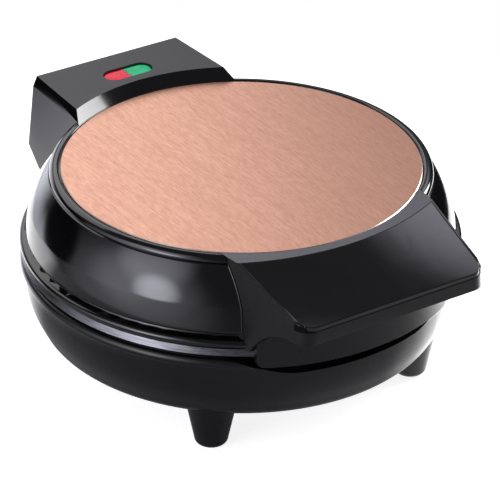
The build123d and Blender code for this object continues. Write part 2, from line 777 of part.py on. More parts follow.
handle_under = frame_under + 1.1
scoop_face = outline(
    (handle_back_y, 20),
    (handle_back_y, handle_under),
    (13.5 - frame_r, handle_under),
    ((5.0 - frame_r, handle_lip_z - 6.0), (-frame_r - 9.5, handle_lip_z)),
    (-handle_reach - 5, handle_lip_z),
    (-handle_reach - 5, 20),
)
scoop = side_prism(scoop_face, far)
handle_whole = handle_prism(0, -handle_reach, handle_under, strip_top + 2) - scoop
handle_whole -= post(0, 0, handle_under, strip_top + 3, lip_in)
handle_room = handle_prism(handle_wall, handle_wall - handle_reach, handle_under, strip_top + 2)
handle_room -= Pos(0, 0, -plate_t - 2.0) * above_handle
handle_room -= Pos(0, 0, handle_wall) * scoop
plate_slab = Solid.extrude(slope_face, Vector(0, 0, -plate_t))
plate_low = handle_lip_z - 8
plate_bed = plate_slab & handle_prism(plate_inset, -handle_reach - over, plate_low, strip_top + 2)
notch_plan = handle_prism(-seat_gap, -handle_reach - 5, disc_seat, strip_top + 2)
lid_round -= notch_plan
lid_shell -= notch_plan

apron_high = handle_lip_z - 2
apron = post(0, 0, apron_under, apron_high, apron_r) - post(0, 0, apron_under, apron_high, apron_r - apron_t)
apron_plan = RectangleRounded(2 * apron_half, far, apron_corner)
apron_middle = apron_under + far / 2
apron &= extrude(Plane.XZ * Pos(0, apron_middle) * apron_plan, apron_r + 5)
apron &= Pos(0, 0, handle_wall + apron_tuck) * scoop
handle_body = handle_whole - above_handle - plate_bed - handle_room
handle_body = handle_body - lid_round - apron

handle_screw_y = 4.0 - frame_screw_ring
handle_screw_spots = ((-26, handle_screw_y), (26, handle_screw_y))
screw_floor = frame_top + 5
for x, y in handle_screw_spots:
    lid_shell += post(x, y, screw_floor, skirt_top + 16, 5.0) & dome_solid
    lid_shell -= post(x, y, screw_floor, 2 * box_top, screw_r + pin_gap)
    boss = post(x, y, skirt_top, strip_top, 4.0) - lid_round - Pos(0, 0, -plate_t - 1) * above_handle
    handle_body += boss
    handle_body -= post(x, y, skirt_top, strip_top - 6, screw_r)
save("lid_shell", lid_shell)
save("handle_body", handle_body)
save("handle_apron", apron)
handle_screws = [screw(x, y, screw_floor - screw_head_t, strip_top - 6) for x, y in handle_screw_spots]
save("handle_screws", *handle_screws)

handle_plate = plate_slab & handle_prism(plate_inset + seat_gap, -handle_reach, plate_low, strip_top + 2)
save("handle_plate", handle_plate)

# Ring that carries the upper plate, with the bead that shows under the skirt
lid_frame = frame_solid - post(0, 0, frame_under - 1, frame_top + 1, frame_in)
for x, y in frame_spots:
    lid_frame -= post(x, y, frame_under, frame_top, screw_r + pin_gap)
    lid_frame -= post(x, y, frame_under, frame_under + screw_head_t, screw_head_r + seat_gap)
for x, y in flange_spots:
    lid_frame -= post(x, y, frame_under, frame_top, screw_r + pin_gap)
save("lid_frame", lid_frame)
frame_screws = [screw(x, y, frame_under, frame_top + 11) for x, y in frame_spots]
save("lid_frame_screws", *frame_screws)
flange_screws = [screw(x, y, frame_top + sheet + screw_head_t, upper_face + 0.8) for x, y in flange_spots]
save("upper_plate_screws", *flange_screws)

# Reflector of the lid, a hat over the element whose brim lies on the ring
brim_r = frame_in + 5.6
upper_reflector = turned(outline(
    (0, upper_sheet),
    (plate_back_r - 1.2, upper_sheet),
    (plate_root_r - 1.6, frame_top),
    (brim_r, frame_top),
    (brim_r, frame_top + sheet),
    (plate_root_r - 1.0, frame_top + sheet),
    (plate_back_r - 0.8, upper_sheet + sheet),
    (0, upper_sheet + sheet),
))
for x, y in frame_spots:
    upper_reflector -= post(x, y, frame_top, frame_top + 1, post_top_r + seat_gap)
for x, y in flange_spots:
    upper_reflector -= post(x, y, frame_top, frame_top + 1, screw_r + pin_gap)
for x, y in terminal_spots:
    upper_reflector -= post(x, y, upper_sheet, upper_sheet + 1, element_r + seat_gap)
save("upper_reflector", upper_reflector)

# Round sheet cover with a turned down rim, on which it stands
lid_disc = turned(outline(
    (0, disc_top - sheet),
    (disc_r - 2 * sheet, disc_top - sheet),
    (disc_r - sheet, disc_top - 2 * sheet),
    (disc_r - sheet, disc_seat),
    (disc_r, disc_seat),
    (disc_r, disc_top - 0.5),
    ((disc_r - 0.3, disc_top - 0.15), (disc_r - 0.9, disc_top)),
    (0, disc_top),
))
save("lid_disc", lid_disc)

# Lamp window: two lens halves in the slot, a holder under them and a lamp for each
lens_top = box_top - lens_drop
roof_under = box_top - wall
lens_slot = Pos(0, window_y, 0) * SlotOverall(window_len - 2 * seat_gap, window_wide - 2 * seat_gap)
flange_slot = Pos(0, window_y, 0) * SlotOverall(window_len + 3, window_wide + 3)
lens = Pos(0, 0, roof_under) * extrude(lens_slot, lens_top - roof_under)
lens = fillet(lens.edges().group_by(Axis.Z)[-1], 0.8)
lens_under = roof_under - lens_flange_t
lens += Pos(0, 0, lens_under) * extrude(flange_slot, lens_flange_t)
save("red_lens", lens & block((-far, 0), (0, far), (0, far)))
save("green_lens", lens & block((0, far), (0, far), (0, far)))
lamp_under = max(roof_under - lamp_depth, lid_wire_z + wire_bend + swing_gap)
lamp_x = window_len / 4
holder_half = window_len / 2 + 2.2
holder = block((-holder_half, holder_half), (window_y - 5.4, window_y + 7), (lamp_under, lens_under))
for x in (-lamp_x, lamp_x):
    holder -= post(x, window_y, lamp_under + lamp_floor, roof_under, lamp_r + 1.6)
save("lamp_holder", holder)
lamp_shoulder = lens_under - lamp_gap - lamp_r
for name, x in (("power_lamp", -lamp_x), ("ready_lamp", lamp_x)):
    lamp = post(x, window_y, lamp_under + lamp_floor, lamp_shoulder, lamp_r)
    lamp += Pos(x, window_y, lamp_shoulder) * Sphere(lamp_r)
    save(name, lamp)

# Wires of the lid, from the lamps through the dome's rear to the element's ends, and the sleeve
lid_leads = []
for side in (-1, 1):
    lid_leads.append(wire(
        (side * lamp_x, window_y, lamp_under), (side * lamp_x, window_y, lid_wire_z),
        (side * lamp_x, disc_r - 3, lid_wire_z), (side * pin_x, pin_y + 12, lid_wire_z),
        (side * pin_x, pin_y + cold_pin_r, lid_wire_z),
    ))
save("lid_leads", *lid_leads)
lid_sleeve = wire((seat_gap / 2, pivot_y, pivot_z), (lead_x, pivot_y, pivot_z),
                  (lead_x, lead_y - 3, pivot_z + 9), (lead_x, lead_y - 3, lamp_under), radius=lead_r)
save("lid_sleeve", lid_sleeve)

# Hinge pins, pressed in the ears of the lid and turning in the base's knuckles
for name, side in (("hinge_pin_left", -1), ("hinge_pin_right", 1)):
    shank_span = sorted((side * (knuckle_in - swing_gap), side * (ear_out - 1)))
    head_span = sorted((side * (knuckle_in - swing_gap - 1.5), side * (knuckle_in - swing_gap)))
    pin = cross_bar(shank_span, pivot_y, pivot_z, pin_r) + cross_bar(head_span, pivot_y, pivot_z, pin_r + 1.5)
    save(name, pin)
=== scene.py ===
import json
from math import cos, pi, radians, sin

import bmesh
import bpy
from mathutils import Matrix, Vector

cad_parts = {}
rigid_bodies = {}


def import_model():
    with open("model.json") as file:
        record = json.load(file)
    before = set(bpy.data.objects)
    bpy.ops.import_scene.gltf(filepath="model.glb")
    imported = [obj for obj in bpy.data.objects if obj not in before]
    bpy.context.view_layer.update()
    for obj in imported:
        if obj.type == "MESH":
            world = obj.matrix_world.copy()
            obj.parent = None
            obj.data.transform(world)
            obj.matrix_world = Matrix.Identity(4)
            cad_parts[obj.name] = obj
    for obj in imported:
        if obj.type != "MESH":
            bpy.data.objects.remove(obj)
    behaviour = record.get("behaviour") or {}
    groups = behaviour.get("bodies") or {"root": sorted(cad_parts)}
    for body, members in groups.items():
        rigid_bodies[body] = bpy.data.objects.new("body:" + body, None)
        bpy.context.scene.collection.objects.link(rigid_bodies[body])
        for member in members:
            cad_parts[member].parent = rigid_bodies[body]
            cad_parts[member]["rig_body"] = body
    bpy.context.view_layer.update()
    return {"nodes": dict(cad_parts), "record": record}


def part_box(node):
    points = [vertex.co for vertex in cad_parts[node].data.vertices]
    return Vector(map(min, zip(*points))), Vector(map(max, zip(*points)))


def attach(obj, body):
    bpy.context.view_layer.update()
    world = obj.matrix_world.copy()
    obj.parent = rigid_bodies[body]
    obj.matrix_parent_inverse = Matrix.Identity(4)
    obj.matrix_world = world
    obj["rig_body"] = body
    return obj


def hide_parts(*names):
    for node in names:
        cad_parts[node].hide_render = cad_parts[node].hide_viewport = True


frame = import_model()
MM = 0.001

# The round body's upright axis runs through the middle of the disc
disc_low, disc_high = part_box("lid_disc")
AXIS_Y = (disc_low.y + disc_high.y) / 2


def in_mm(length):
    """Length of the frame in millimetres, to the tenth, because a mesh's corners fall a little short."""
    return round(length / MM, 1)


# Disc, and from here to the studio all sizes are in millimetres from the foot of the body's axis
DISC_R = in_mm(disc_high.x)
DISC_UNDER = in_mm(disc_low.z)
DISC_TOP = in_mm(disc_high.z)
DISC_BEVEL = 0.4

# Dome and skirt of the lid
WALL = 2.4
RING_R = in_mm(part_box("lid_frame")[1].x)
SKIRT_R = RING_R - 3.0
SKIRT_UNDER = 67.0
CREASE_R = SKIRT_R - 1.9
CREASE_Z = 78.7
LIP_IN = DISC_R + 0.6
LIP_R = DISC_R + 5.1
LIP_TOP = DISC_TOP + 0.2
CORE_R = 70.0
ROOM_TOP = DISC_UNDER - 3.0

# Hinge and hinge box
PIVOT_Y, PIVOT_Z = 109.5, 68.0
EAR_R, EAR_MIDDLE, EAR_LONG = 6.0, 37.6, 8.4
BOX_TOP = in_mm(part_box("lid_shell")[1].z)
BOX_UNDER = 61.6
BOX_REAR_Y = PIVOT_Y + 8.3
BOX_SHOULDER = 4.7
BOX_TOP_HALF = 39.3
BOX_SIDE_HALF = 41.5
BOX_FLARE = 0.0474
BOX_DRAFT = 0.11
BOX_FRONT_Y = 60.0
BOX_ROOM_FRONT_Y = 91.5
COVE_R = LIP_R - 0.1
HEEL_Y, HEEL_Z = 106.0, 70.0
WINDOW_LONG, WINDOW_WIDE = 26.0, 10.8
WINDOW_Y = BOX_REAR_Y - 19.1

# Handle, whose sides draw together towards its front edge
HANDLE_REAR_HALF, HANDLE_REAR_Y = 52.5, -76.2
HANDLE_FRONT_HALF, HANDLE_FRONT_Y = 47.4, -122.2
HANDLE_DRAFT = 0.09
NOTCH_REAR_HALF, NOTCH_REAR_Y = 54.9, -58.0
NOTCH_FRONT_HALF, NOTCH_FRONT_Y = 46.9, -127.0
BAND_UNDER = 84.4
BEAD_R = 0.45

# Plates, whose rim is bare metal outside this radius
PLATE_BARE_R = 94.5

# Floor, in metres, and the brightness that the gloss sees in it: dim on the left, ramping up to the
# right, with a pool beside the object
FLOOR_R = 0.34
FLOOR_DROP = 0.0002
RAMP_TURN = 50
RAMP = {"From Min": -0.012, "From Max": 0.03, "To Min": 0.08, "To Max": 2.5}
POOL_PLACE = (0.13, -0.03, 0.0)
POOL = {"From Min": 0.11, "From Max": 0.02, "To Min": 0.0, "To Max": 4.0}
GLOW = 0.85

# Room that the gloss mirrors: a pale band, bright patches and dark patches. A patch is its turn and rise,
# its reach and core in degrees, and its level
ROOM_BAND = {"From Min": -0.1, "From Max": 0.3, "To Min": 0.25, "To Max": 0.18}
BRIGHT_PATCHES = (
    (192, 13, 15, 0, 7.0), (184, 34, 24, 0, 2.4), (172, 10, 26, 0, 0.8), (186, 12, 34, 0, 0.8),
    (180, -4, 52, 0, 1.1), (32, 38, 18, 0, 2.6), (84, -2, 22, 0, 2.5), (112, -20, 20, 0, 2.5),
)
DARK_PATCHES = ((124, 4, 19, 13, 0.97), (20, -8, 28, 16, 0.95))
LAMPS_AIM = Vector((0, 0, 0.07))

# Photograph: its width, the pixel of the middle of the disc's top, the lens in pixels and in millimetres
# of sensor, the camera's distance in metres, and where it looks, in radians
FRAME_PIXELS = 500
DISC_PIXEL = (241.503, 162.920)
FOCAL_PIXELS = 3170.5
SENSOR = 36.0
FAR = 1.4523
LOOK_TURN, LOOK_DIP, LOOK_ROLL = 0.594015, 0.519439, 0.011983


# Colours and node trees


def linear(code):
    """Linear colour of an sRGB hex value such as c8a080."""
    parts = [int(code[i:i + 2], 16) / 255 for i in (0, 2, 4)]
    return tuple(c / 12.92 if c <= 0.04045 else ((c + 0.055) / 1.055) ** 2.4 for c in parts) + (1.0,)


def add(tree, kind, values, **settings):
    """Node of one kind. An output given for an input is linked, anything else is set on it."""
    node = tree.nodes.new(kind)
    for name, value in settings.items():
        setattr(node, name, value)
    for name, value in values.items():
        if isinstance(value, bpy.types.NodeSocket):
            tree.links.new(value, node.inputs[name])
        else:
            node.inputs[name].default_value = value
    return node


def per_mm(size):
    """Noise scale for spots of that many millimetres on coordinates in metres."""
    return 1000.0 / size


def ribs_per_mm(pitch):
    """Scale of a wave pattern whose ribs stand that many millimetres apart."""
    return per_mm(pitch) * pi / 10


def blank(name):
    """New material with an empty node tree, and the piece's own coordinates in metres."""
    material = bpy.data.materials.new(name)
    material.use_nodes = True
    tree = material.node_tree
    tree.nodes.clear()
    return material, tree, add(tree, "ShaderNodeTexCoord", {}).outputs["Object"]


def surfaced(tree, **values):
    """Shader of a material with its inputs, led to the material's output."""
    inputs = {key.replace("_", " "): value for key, value in values.items()}
    shader = add(tree, "ShaderNodeBsdfPrincipled", inputs)
    add(tree, "ShaderNodeOutputMaterial", {"Surface": shader.outputs["BSDF"]})


def toned(tree, pattern, dark, pale, low, high):
    """Colour between two sRGB values and roughness between two levels, both after one pattern."""
    tone = add(tree, "ShaderNodeMix", {0: pattern, 6: linear(dark), 7: linear(pale)}, data_type="RGBA")
    sheen = add(tree, "ShaderNodeMapRange", {"Value": pattern, "To Min": low, "To Max": high})
    return {"Base_Color": tone.outputs[2], "Roughness": sheen.outputs[0]}


# Materials


def gloss_abs():
    """ABS from a polished mould: deep black, mirror clear, with the faint long waves of shrinkage."""
    material, tree, place = blank("gloss_abs_moulded")
    waves = add(tree, "ShaderNodeTexNoise", {"Vector": place, "Scale": per_mm(14), "Detail": 1.0})
    haze = add(tree, "ShaderNodeTexNoise", {"Vector": place, "Scale": per_mm(30), "Detail": 3.0})
    relief = add(tree, "ShaderNodeBump", {"Height": waves.outputs["Fac"], "Distance": 0.012 * MM})
    surfaced(tree, **toned(tree, haze.outputs["Fac"], "050506", "08080a", 0.07, 0.13),
             Normal=relief.outputs[0], IOR=1.5)
    return material


def satin_abs():
    """ABS from an eroded mould: soft sheen over a fine grain, drawn at 0.5 mm so that it shows."""
    material, tree, place = blank("satin_abs_moulded")
    fine = add(tree, "ShaderNodeTexNoise", {"Vector": place, "Scale": per_mm(0.5), "Detail": 2.0})
    broad = add(tree, "ShaderNodeTexNoise", {"Vector": place, "Scale": per_mm(25), "Detail": 2.0})
    relief = add(tree, "ShaderNodeBump", {"Height": fine.outputs["Fac"], "Distance": 0.006 * MM})
    surfaced(tree, **toned(tree, broad.outputs["Fac"], "060607", "0a0a0c", 0.24, 0.32),
             Normal=relief.outputs[0], IOR=1.4)
    return material


def grained_abs(name, dark, pale):
    """ABS with a coarser grain and a colour greyer than the gloss, which on the handle's level strip is a
    painted highlight.
    """
    material, tree, place = blank(name)
    fine = add(tree, "ShaderNodeTexNoise", {"Vector": place, "Scale": per_mm(0.6), "Detail": 2.0})
    broad = add(tree, "ShaderNodeTexNoise", {"Vector": place, "Scale": per_mm(20), "Detail": 2.0})
    tone = add(tree, "ShaderNodeMix", {0: broad.outputs["Fac"], 6: linear(dark), 7: linear(pale)},
               data_type="RGBA")
    sheen = add(tree, "ShaderNodeMapRange", {"Value": fine.outputs["Fac"], "To Min": 0.38, "To Max": 0.5})
    relief = add(tree, "ShaderNodeBump", {"Height": fine.outputs["Fac"], "Distance": 0.015 * MM})
    surfaced(tree, Base_Color=tone.outputs[2], Roughness=sheen.outputs[0],
             Normal=relief.outputs[0], IOR=1.5)
    return material


def polished_black(name, dark, pale, ior):
    """Polished black plastic of the handle, with a broad soft reflection that weakens with the IOR."""
    material, tree, place = blank(name)
    haze = add(tree, "ShaderNodeTexNoise", {"Vector": place, "Scale": per_mm(22), "Detail": 3.0})
    surfaced(tree, **toned(tree, haze.outputs["Fac"], dark, pale, 0.07, 0.11), IOR=ior)
    return material


def copper_sheet():
    """Aluminium sheet, brushed front to rear and anodised in a copper tone: fine strokes in a warm sheen.

    The scratches are 0.1 mm apart on the real sheet and are drawn at 0.4 mm so that they show."""
    material, tree, place = blank("copper_anodised_aluminium_brushed")
    along = add(tree, "ShaderNodeMapping", {"Vector": place, "Scale": (1.0, 0.09, 1.0)})
    strokes = add(tree, "ShaderNodeTexNoise",
                  {"Vector": along.outputs[0], "Scale": per_mm(0.4), "Detail": 2.0, "Roughness": 0.6})
    far_along = add(tree, "ShaderNodeMapping", {"Vector": place, "Scale": (1.0, 0.03, 1.0)})
    lines = add(tree, "ShaderNodeTexNoise",
                {"Vector": far_along.outputs[0], "Scale": per_mm(1.2), "Detail": 3.0})
    both = add(tree, "ShaderNodeMix", {0: 0.25, 2: strokes.outputs["Fac"], 3: lines.outputs["Fac"]})
    streak = add(tree, "ShaderNodeMapRange", {"Value": both.outputs[0], "From Min": 0.34, "From Max": 0.66})
    across = add(tree, "ShaderNodeCombineXYZ", {"X": 1.0, "Y": 0.0, "Z": 0.0})
    relief = add(tree, "ShaderNodeBump", {"Height": both.outputs[0], "Distance": 0.008 * MM})
    surfaced(tree, **toned(tree, streak.outputs[0], "bf8c76", "d6a590", 0.42, 0.34), Metallic=1.0,
             Anisotropic=0.4, Tangent=across.outputs[0], Normal=relief.outputs[0])
    return material


def coated_cast():
    """Die-cast aluminium under a sprayed non-stick coat with metal flakes: dark, with a dull metal sheen."""
    material, tree, place = blank("non_stick_cast_coated")
    flecks = add(tree, "ShaderNodeTexVoronoi", {"Vector": place, "Scale": per_mm(1.3), "Randomness": 1.0})
    peel = add(tree, "ShaderNodeTexNoise", {"Vector": place, "Scale": per_mm(0.9), "Detail": 3.0})
    dots = add(tree, "ShaderNodeMapRange",
               {"Value": flecks.outputs["Distance"], "From Min": 0.10, "From Max": 0.22,
                "To Min": 0.5, "To Max": 0.0})
    ground = toned(tree, peel.outputs["Fac"], "3c3c3e", "58585b", 0.3, 0.46)
    tone = add(tree, "ShaderNodeMix", {0: dots.outputs[0], 6: ground["Base_Color"], 7: linear("9a9a9d")},
               data_type="RGBA")
    relief = add(tree, "ShaderNodeBump", {"Height": peel.outputs["Fac"], "Distance": 0.03 * MM})
    surfaced(tree, Base_Color=tone.outputs[2], Roughness=ground["Roughness"], Normal=relief.outputs[0],
             Metallic=0.85, IOR=1.45)
    return material


def metal(name, dark, pale, rough, spot, stretch=(1, 1, 1)):
    """Bare metal whose tone and sheen vary a little from spot to spot."""
    material, tree, place = blank(name)
    along = add(tree, "ShaderNodeMapping", {"Vector": place, "Scale": stretch})
    marks = add(tree, "ShaderNodeTexNoise",
                {"Vector": along.outputs[0], "Scale": per_mm(spot), "Detail": 3.0})
    relief = add(tree, "ShaderNodeBump", {"Height": marks.outputs["Fac"], "Distance": 0.01 * MM})
    surfaced(tree, **toned(tree, marks.outputs["Fac"], dark, pale, rough - 0.06, rough + 0.06),
             Normal=relief.outputs[0], Metallic=1.0)
    return material


def dull(name, dark, pale, rough, spot, depth, ior=1.5):
    """Plain opaque stuff such as ceramic, silicone or nylon, with its own small mottle and grain."""
    material, tree, place = blank(name)
    marks = add(tree, "ShaderNodeTexNoise", {"Vector": place, "Scale": per_mm(spot), "Detail": 4.0})
    relief = add(tree, "ShaderNodeBump", {"Height": marks.outputs["Fac"], "Distance": depth * MM})
    surfaced(tree, **toned(tree, marks.outputs["Fac"], dark, pale, rough - 0.05, rough + 0.05),
             Normal=relief.outputs[0], IOR=ior)
    return material


def woven_sleeve():
    """Glass fibre sleeve, braided: slanting pale threads 0.6 mm apart."""
    material, tree, place = blank("glass_fibre_braided")
    threads = add(tree, "ShaderNodeTexWave",
                  {"Vector": place, "Scale": ribs_per_mm(0.6), "Distortion": 1.0}, bands_direction="DIAGONAL")
    relief = add(tree, "ShaderNodeBump", {"Height": threads.outputs["Fac"], "Distance": 0.05 * MM})
    tone = add(tree, "ShaderNodeMix",
               {0: threads.outputs["Fac"], 6: linear("b9b3a4"), 7: linear("e4dfd2")}, data_type="RGBA")
    surfaced(tree, Base_Color=tone.outputs[2], Roughness=0.8, Normal=relief.outputs[0])
    return material


def clear_lens(name, deep, bright):
    """Tinted acrylic, moulded with fine ribs 2 mm apart that break up the reflection of the room. It glows
    faintly in its own colour: painted light that stands in for light through the acrylic.
    """
    material, tree, place = blank(name)
    ribs = add(tree, "ShaderNodeTexWave", {"Vector": place, "Scale": ribs_per_mm(2), "Distortion": 0.3})
    relief = add(tree, "ShaderNodeBump", {"Height": ribs.outputs["Fac"], "Distance": 0.05 * MM})
    depth = add(tree, "ShaderNodeTexNoise", {"Vector": place, "Scale": per_mm(5), "Detail": 1.0})
    tone = add(tree, "ShaderNodeMix", {0: depth.outputs["Fac"], 6: linear(deep), 7: linear(bright)},
               data_type="RGBA")
    # The glow in the lens's own colour is painted light, standing in for light through the acrylic.
    surfaced(tree, Base_Color=tone.outputs[2], Emission_Color=tone.outputs[2], Emission_Strength=0.25,
             Transmission_Weight=0.35, Roughness=0.08, Normal=relief.outputs[0], IOR=1.2)
    return material


def bulb_glass():
    """Clear glass of the small lamps, drawn, with a slight waviness."""
    material, tree, place = blank("lamp_glass_drawn")
    wave = add(tree, "ShaderNodeTexNoise", {"Vector": place, "Scale": per_mm(2), "Detail": 1.0})
    tone = add(tree, "ShaderNodeMix", {0: wave.outputs["Fac"], 6: linear("f4efe4"), 7: linear("ffffff")},
               data_type="RGBA")
    relief = add(tree, "ShaderNodeBump", {"Height": wave.outputs["Fac"], "Distance": 0.02 * MM})
    surfaced(tree, Base_Color=tone.outputs[2], Transmission_Weight=0.9, Roughness=0.05,
             Normal=relief.outputs[0], IOR=1.5)
    return material


finishes = {
    "gloss_black": gloss_abs(),
    "satin_black": satin_abs(),
    "plate_black": polished_black("gloss_insert_polished", "0e0e0f", "121213", 1.5),
    "copper_sheet": copper_sheet(),
    "coated_plate": coated_cast(),
    "copper_edge": metal("copper_sheet_edge_polished", "c4aea2", "e6d4ca", 0.3, 2.0),
    "bare_sheet": metal("aluminium_sheet_rolled", "a9abae", "c9cbce", 0.3, 1.2, (1, 0.05, 1)),
    "element_tube": metal("heater_tube_oxidised", "4a4745", "6b6762", 0.45, 3.0),
    "steel": metal("screw_steel_plated", "8f9196", "c2c4c8", 0.28, 0.8),
    "red_lens": clear_lens("red_acrylic_moulded", "c40028", "f02048"),
    "green_lens": clear_lens("green_acrylic_moulded", "008c5a", "00d494"),
    "clear_lamp": bulb_glass(),
    "white_carrier": dull("nylon_carrier_moulded", "cfccc2", "dedbd2", 0.5, 3.0, 0.01),
    "terminal_plastic": dull("terminal_nylon_moulded", "d2cfc6", "e2dfd8", 0.45, 2.5, 0.01),
    "ceramic_body": dull("steatite_fired", "cdc4b4", "e0d8ca", 0.6, 0.8, 0.02),
    "fibre_sleeve": woven_sleeve(),
    "wire_cover": dull("silicone_extruded", "8e2a22", "a33329", 0.5, 1.5, 0.01, 1.43),
    "lead_sleeve": dull("rubber_sleeve_extruded", "0f0f10", "1a1a1b", 0.55, 1.5, 0.02),
    "brass_tag": metal("brass_tag_stamped", "b08a45", "cfa85f", 0.3, 1.0),
}
grained_box = grained_abs("hinge_box_abs_grained", "141418", "1a1a1f")
bare_rim = metal("plate_rim_turned", "1c1c1e", "86868a", 0.34, 0.45, (0.05, 0.05, 1))
# Darker black with a weak reflection on the handle's front band: painted shade under the plate's overhang.
painted_shade_band = polished_black("front_band_polished_painted_shade", "040405", "070708", 1.2)
# Grey of the handle's level strip: a painted highlight, lighter than the rest of the black moulding.
strip_grain_and_painted_highlight = grained_abs("handle_strip_grained_painted_highlight", "48484d", "56565b")
slot_of = {row["node"]: row["material_slot"] for row in frame["record"]["subparts"]}


# Pieces


def body_of(node):
    """Body that a node moves with."""
    return frame["nodes"][node]["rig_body"]


def show(name, mesh, body, finish, *nodes):
    """Finished piece in place, on its body, in its finish, standing for the CAD nodes."""
    piece = bpy.data.objects.new(name, mesh)
    bpy.context.scene.collection.objects.link(piece)
    if not mesh.materials:
        mesh.materials.append(finishes[finish])
    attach(piece, body)
    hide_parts(*nodes)
    return piece


def merged(node):
    """Copy of a CAD node with its triangles joined and its flat faces whole."""
    shape = bmesh.new()
    shape.from_mesh(frame["nodes"][node].data)
    bmesh.ops.remove_doubles(shape, verts=shape.verts, dist=0.002 * MM)
    bmesh.ops.dissolve_limit(shape, angle_limit=radians(0.5), verts=shape.verts, edges=shape.edges)
    return shape


def smoothed(shape, name, angle):
    """Mesh of a shape, smooth but for edges sharper than the angle in degrees."""
    mesh = bpy.data.meshes.new(name)
    shape.to_mesh(mesh)
    shape.free()
    mesh.shade_smooth()
    mesh.set_sharp_from_angle(angle=radians(angle))
    return mesh


def ease_edges(piece, width, segments=2, angle=35):
    """Small rounding on the edges, as a mould leaves it."""
    ease = piece.modifiers.new("eased_edges", "BEVEL")
    ease.width = width * MM
    ease.segments = segments
    ease.limit_method = "ANGLE"
    ease.angle_limit = radians(angle)
    ease.harden_normals = True
    ease.miter_outer = "MITER_ARC"


def level_faces(piece):
    """Shading that keeps each large face flat up to its rounded edges."""
    level = piece.modifiers.new("level_faces", "WEIGHTED_NORMAL")
    level.mode = "FACE_AREA"
    level.weight = 90
    level.keep_sharp = True


def carry_over(node, name, width=0.0):
    """Piece made from a node's own shape, merged and smooth, with eased edges or level faces."""
    piece = show(name, smoothed(merged(node), name, 28), body_of(node), slot_of[node], node)
    if width:
        ease_edges(piece, width)
    else:
        level_faces(piece)


def at(x, y, z):
    """Place in the frame of a point in millimetres from the foot of the body's axis."""
    return Vector((x * MM, y * MM + AXIS_Y, z * MM))


def through(start, middle, end, steps):
    """Points along the arc from start through middle to end, without its start."""
    (ax, ay), (bx, by), (cx, cy) = start, middle, end
    d = 2 * (ax * (by - cy) + bx * (cy - ay) + cx * (ay - by))
    a2, b2, c2 = ax * ax + ay * ay, bx * bx + by * by, cx * cx + cy * cy
    ox = (a2 * (by - cy) + b2 * (cy - ay) + c2 * (ay - by)) / d
    oy = (a2 * (cx - bx) + b2 * (ax - cx) + c2 * (bx - ax)) / d
    spoke = Vector((ax - ox, ay - oy))
    swing = Vector((cx - ox, cy - oy)).angle_signed(spoke)
    points = []
    for step in range(1, steps + 1):
        turn = swing * step / steps
        x = spoke.x * cos(turn) - spoke.y * sin(turn)
        y = spoke.x * sin(turn) + spoke.y * cos(turn)
        points.append((ox + x, oy + y))
    return points


def turned(profile, segments=256):
    """Closed shape of revolution about the body's axis, from (radius, height) in millimetres.

    A profile that starts and ends on the axis is left open along it."""
    shape = bmesh.new()
    points = [shape.verts.new(at(r, 0, z)) for r, z in profile]
    pairs = zip(points, points[1:] + points[:1])
    edges = [shape.edges.new(pair) for pair in pairs if pair[0].co.x + pair[1].co.x > 0.01 * MM]
    bmesh.ops.spin(shape, geom=points + edges, cent=at(0, 0, 0), axis=(0, 0, 1),
                   angle=2 * pi, steps=segments, use_merge=True)
    bmesh.ops.remove_doubles(shape, verts=shape.verts, dist=0.001 * MM)
    bmesh.ops.recalc_face_normals(shape, faces=shape.faces)
    return shape


def bridged(first, second):
    """Closed shape between two outlines with the same number of points."""
    shape = bmesh.new()
    edges = []
    for outline in (first, second):
        corners = [shape.verts.new(at(*point)) for point in outline]
        edges += shape.faces.new(corners).edges
    bmesh.ops.bridge_loops(shape, edges=edges)
    bmesh.ops.recalc_face_normals(shape, faces=shape.faces)
    return shape


def carved(shape, *tools):
    """Shape with other closed shapes cut out of it."""
    holders = []
    for one in (shape, *tools):
        mesh = bpy.data.meshes.new("blank")
        one.to_mesh(mesh)
        one.free()
        holder = bpy.data.objects.new("blank", mesh)
        bpy.context.scene.collection.objects.link(holder)
        holders.append(holder)
    for tool in holders[1:]:
        cut = holders[0].modifiers.new("cut", "BOOLEAN")
        cut.operation = "DIFFERENCE"
        cut.solver = "EXACT"
        cut.object = tool
    bpy.context.view_layer.update()
    whole = bmesh.new()
    whole.from_object(holders[0], bpy.context.evaluated_depsgraph_get())
    for holder in holders:
        bpy.data.meshes.remove(holder.data)
    bmesh.ops.remove_doubles(whole, verts=whole.verts, dist=0.002 * MM)
    bmesh.ops.dissolve_limit(whole, angle_limit=radians(0.2), verts=whole.verts, edges=whole.edges)
    return whole


# Lid: profile of the dome from the disc's seat outward and down to the skirt
lip_crown = (LIP_IN + 1.4, LIP_TOP)
lip_side = (LIP_R, LIP_TOP - 2.6)
dome_start = (LIP_R + 0.5, LIP_TOP - 3.8)
dome_middle = ((LIP_R + CREASE_R) / 2 + 0.9, (dome_start[1] + CREASE_Z) / 2 + 0.3)
dome_slope = [dome_start] + through(dome_start, dome_middle, (CREASE_R, CREASE_Z), 16)
skirt_end = (SKIRT_R, SKIRT_UNDER + 1.4)
dome_outside = [(LIP_IN, DISC_UNDER), (LIP_IN, DISC_TOP - 0.5)]
dome_outside += through((LIP_IN, DISC_TOP - 0.5), (LIP_IN + 0.5, LIP_TOP - 0.2), lip_crown, 12)
dome_outside += through(lip_crown, (LIP_R - 1.1, LIP_TOP - 0.7), lip_side, 14)
dome_outside += [(LIP_R - 0.4, LIP_TOP - 3.3)] + dome_slope + [skirt_end]
dome_outside += through(skirt_end, (SKIRT_R - 0.3, SKIRT_UNDER + 0.4),
                        (SKIRT_R - 1.2, SKIRT_UNDER), 14)
dome_inside = [
    (SKIRT_R - WALL - 0.9, SKIRT_UNDER),
    (CREASE_R - WALL, CREASE_Z - 0.4),
    (LIP_R - WALL + 0.6, ROOM_TOP),
]


